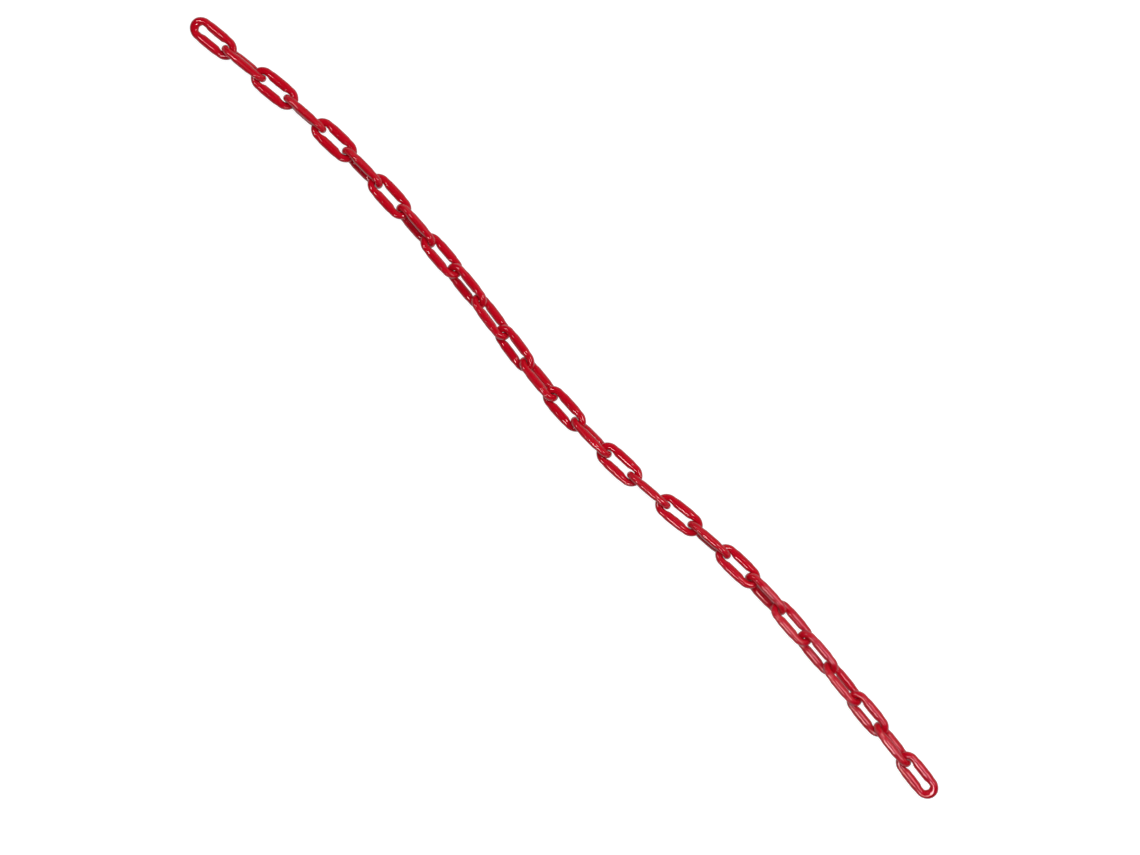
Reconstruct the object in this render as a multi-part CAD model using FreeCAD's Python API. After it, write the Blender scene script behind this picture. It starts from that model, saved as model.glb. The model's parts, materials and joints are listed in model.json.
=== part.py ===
import FreeCAD, Part

# Barrier chain: 27 moulded plastic links, each threaded through the next,
# laid out straight along +X with the slight bends and the steady twist of a
# chain that has been pulled out and put down. Millimetres, +Z up. The origin
# is the middle of the chain's footprint, on the surface it lies on.

import math
import os

# ---- driving dimensions (mm, degrees) ----
LINK_LENGTH = 50.6       # outside length of one link (nominal two-inch link)
END_R = 7.45             # centreline radius of a link's rounded ends
WIRE_D = 7.0             # thickness of the round wire at the hooks
LEG_D = 8.0              # thickness of the legs in the middle of a link
LEG_FULL = 7.0           # the legs have their full thickness up to this far from the link's middle
LEG_SLIM = 11.0          # and are down to the hook's thickness from here on
FREE_END_R = 7.0         # centreline radius of the chain's two free ends
FREE_WIRE_D = 7.9        # thickness of the wire there
LAND_W = 0.8             # width of the flat witness land on the mould's parting line
SEAT_HEIGHT = None       # height of the links' centres; None rests the lowest link on z = 0

LINK_POSES = [
    # centre x, centre y (mm), turn about +Z (deg), roll about its own long axis (deg)
    ( -469.525,   -7.661,   6.96,  -162.06),  # link_01
    ( -433.463,   -3.191,   7.17,   101.28),  # link_02
    ( -397.386,    1.350,   7.17,     2.02),  # link_03
    ( -361.242,    5.266,   5.19,   -93.61),  # link_04
    ( -324.975,    7.886,   3.07,   169.99),  # link_05
    ( -288.634,    9.121,   0.82,    74.05),  # link_06
    ( -252.288,    8.954,  -1.35,   -20.87),  # link_07
    ( -215.964,    7.701,  -2.60,  -114.07),  # link_08
    ( -179.701,    5.922,  -3.01,   145.68),  # link_09
    ( -143.447,    3.523,  -4.56,    48.00),  # link_10
    ( -107.438,   -0.078,  -6.86,   -50.60),  # link_11
    (  -71.520,   -4.369,  -6.77,  -141.57),  # link_12
    (  -35.483,   -7.885,  -4.38,   117.90),  # link_13
    (    0.497,   -9.781,  -1.65,    25.31),  # link_14
    (   36.658,   -9.987,   1.00,   -75.22),  # link_15
    (   72.572,   -8.522,   3.67,  -169.22),  # link_16
    (  108.503,   -5.476,   6.02,    90.24),  # link_17
    (  144.205,   -1.158,   7.78,   -10.30),  # link_18
    (  179.942,    2.951,   5.34,  -100.01),  # link_19
    (  215.836,    5.445,   2.61,   159.45),  # link_20
    (  251.898,    6.164,  -0.33,    61.17),  # link_21
    (  287.990,    5.177,  -2.81,   -35.55),  # link_22
    (  324.210,    3.194,  -3.46,  -135.96),  # link_23
    (  360.425,    0.690,  -4.45,   123.78),  # link_24
    (  396.650,   -2.057,  -4.23,    31.40),  # link_25
    (  432.820,   -4.963,  -4.96,   -69.06),  # link_26
    (  468.860,   -8.213,  -5.35,  -160.00),  # link_27
]

# ---- derived ----
END_X = LINK_LENGTH / 2.0 - WIRE_D / 2.0 - END_R                   # where a rounded end begins
FREE_X = LINK_LENGTH / 2.0 - FREE_WIRE_D / 2.0 - FREE_END_R


def section(x, y, dia):
    """Closed section of the wire in the plane at x, centred on y.

    A circle with a narrow flat land on its inner and outer side, where the
    mould parts.
    """
    r = dia / 2.0
    h = LAND_W / 2.0
    w = math.sqrt(r * r - h * h)
    V = FreeCAD.Vector
    p = [V(x, y + w, h), V(x, y + w, -h), V(x, y - w, -h), V(x, y - w, h)]
    return Part.Wire([
        Part.LineSegment(p[0], p[1]).toShape(),
        Part.Arc(p[1], V(x, y, -r), p[2]).toShape(),
        Part.LineSegment(p[2], p[3]).toShape(),
        Part.Arc(p[3], V(x, y, r), p[0]).toShape(),
    ])


def bar(x0, y0, d0, x1, y1, d1):
    """Length of wire between two sections."""
    return Part.makeLoft([section(x0, y0, d0), section(x1, y1, d1)], True, True)


def rounded_end(side, x, radius, dia):
    """Half ring that closes one end of the link."""
    face = Part.Face(section(side * x, radius, dia))
    return face.revolve(FreeCAD.Vector(side * x, 0, 0), FreeCAD.Vector(0, 0, 1), -180.0 * side)


def make_link(free_side=0):
    """One link in its own frame: long axis X, flat in the XY plane, centred on the origin.

    free_side is -1 or +1 for a link whose end on that side is a free end of
    the chain, which is moulded thicker, and 0 for all the others.
    """
    pieces = []
    for way in (1, -1):
        pieces.append(bar(-LEG_FULL, way * END_R, LEG_D, LEG_FULL, way * END_R, LEG_D))
        for side in (1, -1):
            if side == free_side:
                pieces.append(bar(side * LEG_FULL, way * END_R, LEG_D,
                                  side * FREE_X, way * FREE_END_R, FREE_WIRE_D))
            else:
                pieces.append(bar(side * LEG_FULL, way * END_R, LEG_D,
                                  side * LEG_SLIM, way * END_R, WIRE_D))
                pieces.append(bar(side * LEG_SLIM, way * END_R, WIRE_D,
                                  side * END_X, way * END_R, WIRE_D))
    for side in (1, -1):
        if side == free_side:
            pieces.append(rounded_end(side, FREE_X, FREE_END_R, FREE_WIRE_D))
        else:
            pieces.append(rounded_end(side, END_X, END_R, WIRE_D))
    body = pieces[0].fuse(pieces[1:])
    solids = body.Solids
    if len(solids) != 1 or not solids[0].isValid():
        raise RuntimeError("the link is not one valid solid")
    if solids[0].Volume < 0:
        solids[0].reverse()
    return solids[0]


def link_turn(yaw, roll):
    return FreeCAD.Rotation(FreeCAD.Vector(0, 0, 1), yaw).multiply(
        FreeCAD.Rotation(FreeCAD.Vector(1, 0, 0), roll))


def reach(turn, d, free_side=0):
    """How far a turned link's surface gets from its centre along the unit direction d."""
    u = turn.multVec(FreeCAD.Vector(1, 0, 0)).dot(d)
    w = turn.multVec(FreeCAD.Vector(0, 1, 0)).dot(d)
    best = LEG_FULL * abs(u) + END_R * abs(w) + LEG_D / 2.0
    for side in (1, -1):
        if side == free_side:
            best = max(best, FREE_X * u * side + FREE_END_R * math.hypot(u, w) + FREE_WIRE_D / 2.0)
        else:
            best = max(best, END_X * u * side + END_R * math.hypot(u, w) + WIRE_D / 2.0)
    return best


def main():
    os.makedirs("parts", exist_ok=True)
    count = len(LINK_POSES)
    free = [-1] + [0] * (count - 2) + [1]
    shapes = {side: make_link(side) for side in (-1, 0, 1)}
    turns = [link_turn(yaw, roll) for _, _, yaw, roll in LINK_POSES]
    lo, hi = [], []
    for axis, at in ((FreeCAD.Vector(1, 0, 0), 0), (FreeCAD.Vector(0, 1, 0), 1)):
        lo.append(min(p[at] - reach(t, -axis, f) for p, t, f in zip(LINK_POSES, turns, free)))
        hi.append(max(p[at] + reach(t, axis, f) for p, t, f in zip(LINK_POSES, turns, free)))
    height = SEAT_HEIGHT
    if height is None:
        height = max(reach(t, FreeCAD.Vector(0, 0, -1), f) for t, f in zip(turns, free))
    for i, (p, t, f) in enumerate(zip(LINK_POSES, turns, free), 1):
        centre = FreeCAD.Vector(p[0] - (lo[0] + hi[0]) / 2.0, p[1] - (lo[1] + hi[1]) / 2.0, height)
        solid = shapes[f].copy()
        solid.Placement = FreeCAD.Placement(centre, t)
        # bake the placement into the geometry, so the exported solid stands alone
        solid = solid.copy()
        solid.exportStep("parts/link_%02d.step" % i)
    print("links", count, "volume of one, mm3", round(shapes[0].Volume, 1),
          "length", round(hi[0] - lo[0], 2), "width", round(hi[1] - lo[1], 2), "height", round(2 * height, 2))


main()
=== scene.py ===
import json
import math

import bpy
import numpy as np
from mathutils import Matrix, Vector, noise

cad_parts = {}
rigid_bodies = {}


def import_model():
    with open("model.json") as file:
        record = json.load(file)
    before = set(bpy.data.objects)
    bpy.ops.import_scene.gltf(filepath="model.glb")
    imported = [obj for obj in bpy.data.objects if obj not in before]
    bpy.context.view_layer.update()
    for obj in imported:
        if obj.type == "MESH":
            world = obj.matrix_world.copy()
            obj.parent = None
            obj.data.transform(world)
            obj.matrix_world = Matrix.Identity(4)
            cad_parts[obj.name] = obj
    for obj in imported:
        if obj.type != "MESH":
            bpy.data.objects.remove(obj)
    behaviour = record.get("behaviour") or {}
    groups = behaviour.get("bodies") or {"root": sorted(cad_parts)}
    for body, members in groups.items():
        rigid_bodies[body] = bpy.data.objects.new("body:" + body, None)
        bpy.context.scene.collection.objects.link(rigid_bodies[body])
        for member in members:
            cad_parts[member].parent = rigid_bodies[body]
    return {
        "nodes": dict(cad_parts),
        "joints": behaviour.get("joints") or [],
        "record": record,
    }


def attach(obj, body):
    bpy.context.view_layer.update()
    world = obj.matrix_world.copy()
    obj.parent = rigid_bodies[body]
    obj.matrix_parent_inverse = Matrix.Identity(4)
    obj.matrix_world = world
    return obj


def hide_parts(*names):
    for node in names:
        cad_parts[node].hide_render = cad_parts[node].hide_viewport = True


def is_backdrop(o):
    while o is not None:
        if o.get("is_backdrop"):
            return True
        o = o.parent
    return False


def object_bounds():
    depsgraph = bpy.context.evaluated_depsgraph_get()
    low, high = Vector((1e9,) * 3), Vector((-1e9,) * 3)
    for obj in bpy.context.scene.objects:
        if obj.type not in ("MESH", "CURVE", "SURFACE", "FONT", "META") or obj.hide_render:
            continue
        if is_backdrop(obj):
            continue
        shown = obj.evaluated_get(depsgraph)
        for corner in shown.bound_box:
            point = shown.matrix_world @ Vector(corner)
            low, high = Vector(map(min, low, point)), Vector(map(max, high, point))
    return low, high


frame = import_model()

CAD_LO, CAD_HI = (list(v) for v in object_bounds())

# ---------------------------------------------------------------- the links' places, from the frame
MM = 0.001
LINKS = sorted(frame["nodes"])
JOINTS = {j["child"]: j for j in frame["joints"]}
PARENT_OF = {j["parent"]: j for j in frame["joints"]}
MOUNTS = {m["name"]: m for m in frame["record"]["mounts"]}
BODY = {n: b for b, ns in frame["record"]["behaviour"]["bodies"].items() for n in ns}


def verts_of(name):
    me = frame["nodes"][name].data
    a = np.empty(len(me.vertices) * 3)
    me.vertices.foreach_get("co", a)
    return a.reshape(-1, 3)


def place_of(name):
    """Centre, long axis, width axis and flat normal of a link, and its half sizes in metres."""
    v = verts_of(name)
    c = (v.min(0) + v.max(0)) / 2
    body = BODY[name]
    if body in PARENT_OF:
        far = np.array(PARENT_OF[body]["pos_m"])
    else:
        far = np.array(MOUNTS["last_end_eye"]["pos_m"])
    u = far - c
    u /= np.linalg.norm(u)
    if body in JOINTS:
        n = np.array(JOINTS[body]["axis"])
        n -= u * (u @ n)
    else:
        w, vec = np.linalg.eigh(np.cov((v - c).T))
        n = vec[:, 0]
        n -= u * (u @ n)
    n /= np.linalg.norm(n)
    t = np.cross(n, u)
    return c, u, t, n, (np.abs((v - c) @ u).max(), np.abs((v - c) @ t).max(), np.abs((v - c) @ n).max())


PLACES = {n: place_of(n) for n in LINKS}
HALF_L = float(np.median([PLACES[n][4][0] for n in LINKS]))
HALF_W = float(np.median([PLACES[n][4][1] for n in LINKS]))
LEG_R = float(np.median([PLACES[n][4][2] for n in LINKS]))     # half the thickness of the legs
WIRE_R = LEG_R * 0.875             # half the thickness of the wire at the hooks
END_R = HALF_W - LEG_R             # centreline radius of the rounded ends
LEG_H = HALF_L - WIRE_R - END_R    # half of each straight leg


# ---------------------------------------------------------------- one link as a swept mesh
def smooth(a, b, x):
    t = np.clip((x - a) / (b - a), 0, 1)
    return t * t * (3 - 2 * t)


N_T = 52                           # points round the section
STOUT = (0, 2, 4, 24, 26)          # links whose legs came out of the mould a little fuller


def stations():
    """Stations round the loop: (x, y, outward normal x, y)."""
    rows = []
    # the leg at +y runs from +x to -x, then the end at -x, and so on round
    leg = np.concatenate([
        np.linspace(1, 0.30, 15, endpoint=False),
        np.linspace(0.30, -0.30, 46, endpoint=False),
        np.linspace(-0.30, -1, 15, endpoint=False)]) * LEG_H
    arc = np.linspace(0, math.pi, 56, endpoint=False)
    for x in leg:
        rows.append((x, END_R, 0.0, 1.0))
    for a in arc:
        nx, ny = -math.sin(a), math.cos(a)
        rows.append((-LEG_H + END_R * nx, END_R * ny, nx, ny))
    for x in -leg:
        rows.append((x, -END_R, 0.0, -1.0))
    for a in arc:
        nx, ny = math.sin(a), -math.cos(a)
        rows.append((LEG_H + END_R * nx, END_R * ny, nx, ny))
    return np.array(rows)


ST = stations()


def link_mesh(index, name):
    """The link as (vertices in its own frame, wear values, painted highlight values along the parting line)."""
    rng = np.random.default_rng(1000 + index)
    first, last = index == 0, index == len(LINKS) - 1
    x, y, nx, ny = ST.T
    ax = np.abs(x)
    tip = np.clip((ax - LEG_H) / END_R, 0, 1)     # 0 on the legs, 1 at the tips
    r = WIRE_R + (LEG_R - WIRE_R) * (1 - smooth(6.6 * MM, 12.2 * MM, ax))

    # thickness outwards, inwards and through the link
    turn = np.degrees(np.arccos(np.clip(tip, 0, 1)))            # degrees from the tip, 90 on the legs
    inset = np.interp(turn, [0, 15, 30, 45, 57, 70, 80, 90], [0, 0.05, 0.20, 0.34, 0.40, 0.36, 0.26, 0.16])
    inset = np.where(tip > 0, inset, np.interp(ax / MM, [8.0, 11.5, LEG_H / MM], [0.0, 0.04, 0.16]))
    r_out = r - inset * MM + 0.16 * MM + 0.03 * MM * (1 - smooth(18.0, 48.0, turn)) * (tip > 0)
    stout = 0.60 if index in STOUT else 0.42
    slim = WIRE_R - 0.05 * MM + 0.05 * MM * np.sin(np.pi * np.clip((turn - 15) / 80, 0, 1)) * (tip > 0)
    r_in = slim + (LEG_R + 0.05 * MM + stout * MM - slim) * (1 - smooth(7.4 * MM, 12.2 * MM, ax))
    r_z = r - 0.04 * MM * smooth(8.0 * MM, 11.0 * MM, ax)
    free = np.zeros_like(x)
    if first:
        free = np.where(x < 0, 1.0, 0.0) * smooth(7.0 * MM, 15.5 * MM, ax)
    if last:
        free = np.where(x > 0, 1.0, 0.0) * smooth(7.0 * MM, 15.5 * MM, ax)
    r_in = r_in + free * MM * (0.42 + 1.15 * smooth(0.1, 0.95, np.abs(nx)))
    r_out = r_out + free * MM * 0.10 * (turn > 20)
    r_z = r_z + free * MM * 0.38

    t = np.arange(N_T) * 2 * math.pi / N_T
    ct, st = np.cos(t), np.sin(t)
    p = 2.03                                      # a little squarer than a circle, as the mould leaves it
    base = (np.abs(ct) ** p + np.abs(st) ** p) ** (-1 / p)
    S = len(x)
    V = np.zeros((S, N_T, 3))
    wear = np.zeros((S, N_T))
    painted_sheen = np.zeros((S, N_T))

    # arc length, for the features along the loop
    step = np.hypot(np.diff(x, append=x[:1]), np.diff(y, append=y[:1]))
    run = np.concatenate([[0], np.cumsum(step)[:-1]])

    # per-link marks
    gate_leg = 1 if rng.random() < 0.72 else -1   # which leg carries the gate scar
    gate_x = rng.uniform(-1.2, 1.2) * MM
    nub_x = rng.uniform(-1.5, 1.5) * MM
    knit_x = rng.uniform(-1.0, 1.0) * MM
    flash = 0.030 + 0.035 * rng.random()
    seed = Vector((rng.uniform(-50, 50), rng.uniform(-50, 50), rng.uniform(-50, 50)))

    for i in range(S):
        ro, ri, rz = r_out[i], r_in[i], r_z[i]
        half = np.where(ct >= 0, ro, ri)
        a = base * ct * half
        b = base * st * rz
        rad = np.hypot(a, b)
        ang = np.arctan2(b, a)

        add = np.zeros(N_T)
        # parting line: a fine raised ridge of flash on the outer and inner side
        f_o = flash * (0.75 + 0.25 * noise.noise(Vector((run[i] * 420, 0.3, index)) + seed))
        f_i = flash * (0.85 + 0.35 * noise.noise(Vector((run[i] * 420, 7.3, index)) + seed))
        seam_o = np.exp(-(np.abs(b) / (0.26 * MM)) ** 2) * (ct > 0)
        f_i *= 1 - 0.85 * tip[i]
        seam_i = np.exp(-(np.abs(b) / (0.26 * MM)) ** 2) * (ct < 0)
        add += MM * (f_o * seam_o + f_i * seam_i)
        # the two mould halves meet with a slight offset
        add += 0.018 * MM * np.tanh(b / (0.12 * MM)) * np.exp(-(np.abs(b) / (1.1 * MM)) ** 2) * np.sign(ct)

        # slow unevenness, as shrinkage leaves it
        for j in range(N_T):
            q = Vector((x[i] * 160, y[i] * 160 + ct[j] * 0.55, st[j] * 0.55))
            add[j] += 0.016 * MM * noise.noise(q + seed)
            add[j] += 0.0025 * MM * noise.noise(q * 4.1 + seed)

        on_leg = ax[i] < 7.5 * MM
        if on_leg:
            leg_side = 1 if y[i] > 0 else -1
            # gate scar: a row of small ribs on the inner side of one leg
            if leg_side == gate_leg:
                d = (x[i] - gate_x)
                win = math.exp(-(d / (2.6 * MM)) ** 4)
                ribs = 0.5 + 0.5 * math.cos(2 * math.pi * d / (1.15 * MM))
                belt = np.exp(-((ang_from(ang, math.pi - 0.30)) / 0.34) ** 2)
                add += 0.24 * MM * win * ribs * belt
                # the trimmed gate itself
                spot = math.exp(-((d + 0.2 * MM) / (0.75 * MM)) ** 2)
                add += 0.22 * MM * spot * np.exp(-((ang_from(ang, math.pi)) / 0.22) ** 2)
            # ejector marks: a low round pip on each face
            d = x[i] - nub_x * leg_side
            for s in (1, -1):
                arc_d = ang_from(ang, s * math.pi / 2) * r[i]
                rr = np.hypot(d, arc_d)
                add += 0.16 * MM * (1 - smooth(0.50 * MM, 0.85 * MM, rr))
                add -= 0.05 * MM * np.exp(-((rr - 1.05 * MM) / (0.16 * MM)) ** 2)
            # knit line where the melt met, on the other leg
            if leg_side != gate_leg:
                d = x[i] - knit_x
                add -= 0.07 * MM * math.exp(-(d / (0.28 * MM)) ** 2) * (0.7 + 0.3 * np.cos(ang * 2))
        a2 = a * (1 + add / rad)
        b2 = b * (1 + add / rad)
        # the outer side keeps close to the round section's own size
        lim = np.where(ct > 0, r[i] + (0.13 + 0.04 * tip[i] ** 2) * MM, 1.0)
        a2 = np.minimum(a2, lim)
        zl = LEG_R + 0.05 * MM
        b2 = np.clip(b2, -zl, zl)
        V[i, :, 0] = x[i] + a2 * nx[i]
        V[i, :, 1] = y[i] + a2 * ny[i]
        V[i, :, 2] = b2
        # rubbed seat: the inner side of the hooked ends
        hooked = 1.0
        if first and x[i] < 0:
            hooked = 0.35
        if last and x[i] > 0:
            hooked = 0.35
        wear[i] = hooked * tip[i] ** 0.7 * np.clip(-ct, 0, 1) ** 1.5
        # painted highlight mask: a band either side of the parting plane, full on the outer side and 0.55 on
        # the inner, where the colour is paled to stand in for sheen
        painted_sheen[i] = np.exp(-(np.abs(b) / (0.95 * MM)) ** 4) * np.where(ct > 0, 1.0, 0.55)
    return V, wear, painted_sheen


def ang_from(a, b):
    return (a - b + math.pi) % (2 * math.pi) - math.pi


def build_link(index, name, material):
    V, wear, painted_sheen = link_mesh(index, name)
    c, u, tt, n, _ = PLACES[name]
    S = V.shape[0]
    P = V.reshape(-1, 3)
    W = c + P[:, :1] * u + P[:, 1:2] * tt + P[:, 2:3] * n
    # nothing stands outside the room the chain takes up
    W = np.clip(W, np.array(CAD_LO) + 0.01 * MM, np.array(CAD_HI) - 0.01 * MM)
    i = np.arange(S)[:, None]
    j = np.arange(N_T)[None, :]
    a = i * N_T + j
    b = i * N_T + (j + 1) % N_T
    d = ((i + 1) % S) * N_T + j
    e = ((i + 1) % S) * N_T + (j + 1) % N_T
    faces = np.stack([a, b, e, d], -1).reshape(-1, 4)
    me = bpy.data.meshes.new("moulded_" + name)
    me.from_pydata(W.tolist(), [], faces.tolist())
    me.update()
    # the faces must look outwards
    f0 = me.polygons[0]
    mid = c + ST[0, 0] * u + ST[0, 1] * tt
    if f0.normal.dot(Vector(f0.center) - Vector(mid)) < 0:
        me.flip_normals()
    me.polygons.foreach_set("use_smooth", [True] * len(me.polygons))
    at = me.attributes.new("rubbed", "FLOAT", "POINT")
    at.data.foreach_set("value", wear.reshape(-1))
    sm = me.attributes.new("parting_line_sheen", "FLOAT", "POINT")
    sm.data.foreach_set("value", painted_sheen.reshape(-1))
    # the link's own coordinates, so that grain and flow follow the plastic
    loc = me.attributes.new("link_place", "FLOAT_VECTOR", "POINT")
    q = P.copy()
    q[:, 0] += index * 0.173
    q[:, 1] += index * 0.091
    loc.data.foreach_set("vector", q.reshape(-1))
    me.materials.append(material)
    me.update()
    o = bpy.data.objects.new("moulded_" + name, me)
    bpy.context.scene.collection.objects.link(o)
    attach(o, BODY[name])
    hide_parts(name)
    return o


# ---------------------------------------------------------------- material
def red_plastic():
    m = bpy.data.materials.new("glossy_red_plastic")
    m.use_nodes = True
    nt = m.node_tree
    nt.nodes.clear()
    N, L = nt.nodes, nt.links

    def node(kind, **kw):
        nd = N.new(kind)
        for k2, v in kw.items():
            setattr(nd, k2, v)
        return nd

    out = node("ShaderNodeOutputMaterial")
    bs = node("ShaderNodeBsdfPrincipled")
    L.new(bs.outputs[0], out.inputs[0])
    bs.inputs["IOR"].default_value = 1.5
    bs.inputs["Coat Weight"].default_value = 1.0
    bs.inputs["Specular IOR Level"].default_value = 0.35
    bs.inputs["Specular Tint"].default_value = (1.0, 0.06, 0.10, 1)
    bs.inputs["Coat Roughness"].default_value = 0.045
    bs.inputs["Coat IOR"].default_value = 1.5
    bs.inputs["Subsurface Weight"].default_value = 0.08
    bs.inputs["Subsurface Scale"].default_value = 0.0012
    bs.inputs["Subsurface Radius"].default_value = (1.0, 0.12, 0.08)

    at = node("ShaderNodeAttribute", attribute_name="link_place")
    rub = node("ShaderNodeAttribute", attribute_name="rubbed")

    # colour: slow clouding, flow streaks along the legs, paler rubbed seats, and a painted highlight along the
    # parting line
    n1 = node("ShaderNodeTexNoise")
    n1.inputs["Scale"].default_value = 55
    n1.inputs["Detail"].default_value = 3
    L.new(at.outputs["Vector"], n1.inputs["Vector"])
    stretch = node("ShaderNodeMapping")
    stretch.inputs["Scale"].default_value = (0.12, 1.0, 1.0)
    L.new(at.outputs["Vector"], stretch.inputs["Vector"])
    n2 = node("ShaderNodeTexNoise")
    n2.inputs["Scale"].default_value = 900
    n2.inputs["Detail"].default_value = 4
    L.new(stretch.outputs[0], n2.inputs["Vector"])
    r1 = node("ShaderNodeValToRGB")
    r1.color_ramp.elements[0].position = 0.28
    r1.color_ramp.elements[0].color = (0.560, 0.0012, 0.0110, 1)
    r1.color_ramp.elements[1].position = 0.74
    r1.color_ramp.elements[1].color = (0.600, 0.0028, 0.0160, 1)
    L.new(n1.outputs["Fac"], r1.inputs["Fac"])
    r2 = node("ShaderNodeValToRGB")
    r2.color_ramp.elements[0].position = 0.35
    r2.color_ramp.elements[0].color = (0.530, 0.0010, 0.0100, 1)
    r2.color_ramp.elements[1].position = 0.70
    r2.color_ramp.elements[1].color = (0.640, 0.0045, 0.0200, 1)
    L.new(n2.outputs["Fac"], r2.inputs["Fac"])
    mx = node("ShaderNodeMix", data_type="RGBA")
    mx.inputs["Factor"].default_value = 0.28
    L.new(r1.outputs["Color"], mx.inputs["A"])
    L.new(r2.outputs["Color"], mx.inputs["B"])

    sc = node("ShaderNodeTexNoise")
    sc.inputs["Scale"].default_value = 1500
    sc.inputs["Detail"].default_value = 5
    sc.inputs["Roughness"].default_value = 0.7
    L.new(at.outputs["Vector"], sc.inputs["Vector"])
    scr = node("ShaderNodeMapRange")
    scr.inputs["From Min"].default_value = 0.45
    scr.inputs["From Max"].default_value = 0.75
    L.new(sc.outputs["Fac"], scr.inputs["Value"])
    rubm = node("ShaderNodeMath", operation="MULTIPLY")
    L.new(rub.outputs["Fac"], rubm.inputs[0])
    L.new(scr.outputs["Result"], rubm.inputs[1])
    rubc = node("ShaderNodeMath", operation="MULTIPLY")
    L.new(rubm.outputs[0], rubc.inputs[0])
    rubc.inputs[1].default_value = 0.35
    mx2 = node("ShaderNodeMix", data_type="RGBA")
    L.new(rubc.outputs[0], mx2.inputs["Factor"])
    L.new(mx.outputs["Result"], mx2.inputs["A"])
    mx2.inputs["B"].default_value = (0.68, 0.055, 0.08, 1)
    # painted highlight: the band along the parting line is mixed towards a pale pink, more on the outer side,
    # as a stand-in for the sheen it catches from overhead light
    smn = node("ShaderNodeAttribute", attribute_name="parting_line_sheen")
    smr = node("ShaderNodeMapRange")
    smr.inputs["From Min"].default_value = 0.30
    smr.inputs["From Max"].default_value = 0.62
    L.new(n2.outputs["Fac"], smr.inputs["Value"])
    smm = node("ShaderNodeMath", operation="MULTIPLY")
    L.new(smn.outputs["Fac"], smm.inputs[0])
    L.new(smr.outputs["Result"], smm.inputs[1])
    smc = node("ShaderNodeMath", operation="MULTIPLY")
    L.new(smm.outputs[0], smc.inputs[0])
    smc.inputs[1].default_value = 0.62
    mx3 = node("ShaderNodeMix", data_type="RGBA")
    L.new(smc.outputs[0], mx3.inputs["Factor"])
    L.new(mx2.outputs["Result"], mx3.inputs["A"])
    # the pale pink of the painted highlight
    mx3.inputs["B"].default_value = (0.66, 0.040, 0.060, 1)
    L.new(mx3.outputs["Result"], bs.inputs["Base Color"])

    # gloss: satin-gloss skin with duller patches and hairline scuffs
    n3 = node("ShaderNodeTexNoise")
    n3.inputs["Scale"].default_value = 260
    n3.inputs["Detail"].default_value = 5
    L.new(at.outputs["Vector"], n3.inputs["Vector"])
    rr = node("ShaderNodeMapRange")
    rr.inputs["From Min"].default_value = 0.3
    rr.inputs["From Max"].default_value = 0.7
    rr.inputs["To Min"].default_value = 0.12
    rr.inputs["To Max"].default_value = 0.20
    L.new(n3.outputs["Fac"], rr.inputs["Value"])
    ra = node("ShaderNodeMath", operation="MULTIPLY_ADD")
    L.new(rubm.outputs[0], ra.inputs[0])
    ra.inputs[1].default_value = 0.28
    L.new(rr.outputs["Result"], ra.inputs[2])
    L.new(ra.outputs[0], bs.inputs["Roughness"])

    # relief: fine orange peel and hairline scratches
    n4 = node("ShaderNodeTexNoise")
    n4.inputs["Scale"].default_value = 700
    n4.inputs["Detail"].default_value = 2
    L.new(at.outputs["Vector"], n4.inputs["Vector"])
    wv = node("ShaderNodeTexVoronoi", feature="DISTANCE_TO_EDGE")
    wv.inputs["Scale"].default_value = 240
    strv = node("ShaderNodeMapping")
    strv.inputs["Scale"].default_value = (0.22, 1.0, 1.0)
    strv.inputs["Rotation"].default_value = (0.2, 0.35, 0.5)
    L.new(at.outputs["Vector"], strv.inputs["Vector"])
    L.new(strv.outputs[0], wv.inputs["Vector"])
    wr = node("ShaderNodeMapRange")
    wr.inputs["From Min"].default_value = 0.0
    wr.inputs["From Max"].default_value = 0.02
    wr.inputs["To Min"].default_value = 0.0
    wr.inputs["To Max"].default_value = 1.0
    L.new(wv.outputs["Distance"], wr.inputs["Value"])
    b1 = node("ShaderNodeBump")
    b1.inputs["Strength"].default_value = 0.20
    b1.inputs["Distance"].default_value = 0.000008
    L.new(n4.outputs["Fac"], b1.inputs["Height"])
    b2 = node("ShaderNodeBump")
    b2.inputs["Strength"].default_value = 0.20
    b2.inputs["Distance"].default_value = 0.000006
    L.new(wr.outputs["Result"], b2.inputs["Height"])
    L.new(b1.outputs["Normal"], b2.inputs["Normal"])
    L.new(b2.outputs["Normal"], bs.inputs["Normal"])
    return m


RED = red_plastic()
for i, name in enumerate(LINKS):
    build_link(i, name, RED)


# ---------------------------------------------------------------- floor, light, camera
def plane(name, size, z, colour, glow, camera, diffuse, glossy):
    """Level sheet; each one serves only the kinds of ray it is meant for."""
    me = bpy.data.meshes.new(name)
    me.from_pydata([(-size, -size, z), (size, -size, z), (size, size, z), (-size, size, z)], [], [(0, 1, 2, 3)])
    o = bpy.data.objects.new(name, me)
    bpy.context.scene.collection.objects.link(o)
    m = bpy.data.materials.new(name + "_paint")
    m.use_nodes = True
    b = m.node_tree.nodes["Principled BSDF"]
    b.inputs["Base Color"].default_value = (colour, colour, colour, 1)
    b.inputs["Roughness"].default_value = 0.9
    b.inputs["Specular IOR Level"].default_value = 0.1
    b.inputs["Emission Color"].default_value = (1, 1, 1, 1)
    b.inputs["Emission Strength"].default_value = glow
    me.materials.append(m)
    o.visible_camera = camera
    o.visible_diffuse = diffuse
    o.visible_glossy = glossy
    o.visible_shadow = diffuse
    o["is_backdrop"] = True
    return o


# the floor looks plain white; what the red picks up from it is dimmer, which keeps the red deep
plane("white_floor", 9.0, CAD_LO[2] - 0.0002, 0.25, 0.92, True, False, False)
plane("floor_sheen", 9.0, CAD_LO[2] - 0.0007, 0.0, 0.50, False, False, True)
plane("floor_bounce", 9.0, CAD_LO[2] - 0.0012, 0.14, 0.0, False, True, False)


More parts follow.
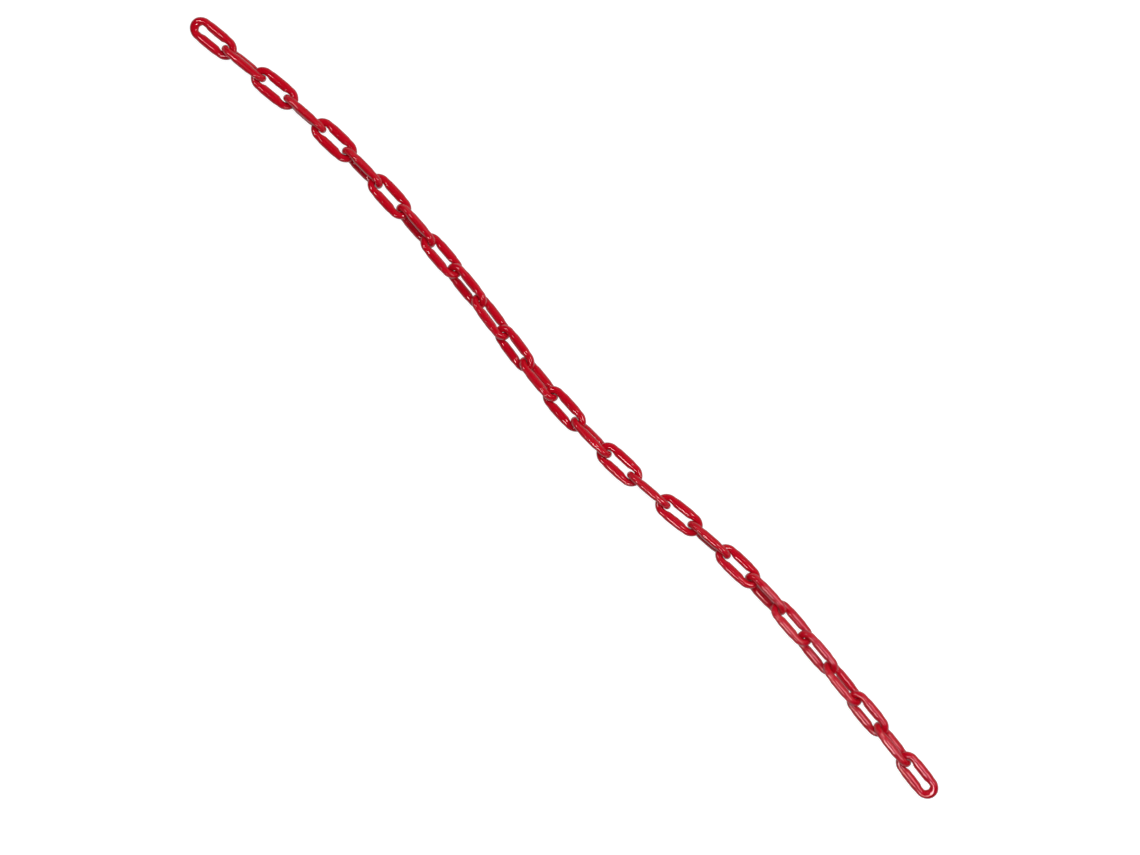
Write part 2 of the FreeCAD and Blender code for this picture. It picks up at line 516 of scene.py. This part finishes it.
def soft_box(name, at, aim, size_x, size_y, radiance, shiny=True, matt=True):
    """A soft box with its long side along +X; radiance in scene units."""
    li = bpy.data.lights.new(name, "AREA")
    li.shape = "RECTANGLE"
    li.size, li.size_y = size_x, size_y
    li.energy = radiance * math.pi * size_x * size_y
    o = bpy.data.objects.new(name, li)
    bpy.context.scene.collection.objects.link(o)
    z = (Vector(at) - Vector(aim)).normalized()
    xx = Vector((1, 0, 0))
    xx = (xx - z * xx.dot(z)).normalized()
    yy = z.cross(xx)
    o.matrix_world = Matrix((xx, yy, z)).transposed().to_4x4()
    o.location = at
    o.visible_camera = False
    o.visible_glossy = shiny
    o.visible_diffuse = matt
    return o


def strip(name, tilt, x0, x1, width, radiance, height=1.3):
    """Narrow tube light over the chain, tilt degrees from the vertical towards +Y, from x0 to x1."""
    y = height * math.tan(math.radians(tilt))
    mid = (x0 + x1) / 2
    return soft_box(name, (mid, y, height), (mid, 0, 0), x1 - x0, width, radiance, matt=False)


# broad light for the colour, kept out of the reflections
soft_box("top_fill", (0.0, 0.7, 2.2), (0, 0, 0), 2.6, 2.2, 2.50, shiny=False)
# pale wall beyond the chain, low on the +Y side, and its dimmer opposite
soft_box("wall_far", (0.0, 2.3, 1.05), (0, 0, 0), 5.0, 1.3, 0.26)
soft_box("wall_near", (0.0, -2.6, 0.75), (0, 0, 0), 5.0, 0.9, 0.08)
# tubes that draw the thin streaks along the wires
strip("tube_first", -25, -1.30, -0.585, 0.17, 21.0)
strip("tube_last_a", -42, 0.075, 0.68, 0.22, 26.0)
strip("tube_last_b", 21, 0.34, 1.30, 0.17, 21.0)

w = bpy.data.worlds.new("studio")
bpy.context.scene.world = w
w.use_nodes = True
bg = w.node_tree.nodes["Background"]
bg.inputs["Color"].default_value = (0.93, 0.94, 0.96, 1)
bg.inputs["Strength"].default_value = 0.27
w.cycles_visibility.glossy = False

cam_data = bpy.data.cameras.new("camera")
cam_data.lens = 102.808
cam_data.sensor_width = 36.0
cam_data.clip_start = 0.05
cam_data.clip_end = 100.0
cam = bpy.data.objects.new("camera", cam_data)
bpy.context.scene.collection.objects.link(cam)
cam.location = (0.0168, -0.0176, 3.0109)
cam.rotation_euler = (0.0, 0.0, 0.8077)
bpy.context.scene.camera = cam
bpy.context.scene.view_settings.view_transform = "Standard"

bpy.context.view_layer.update()
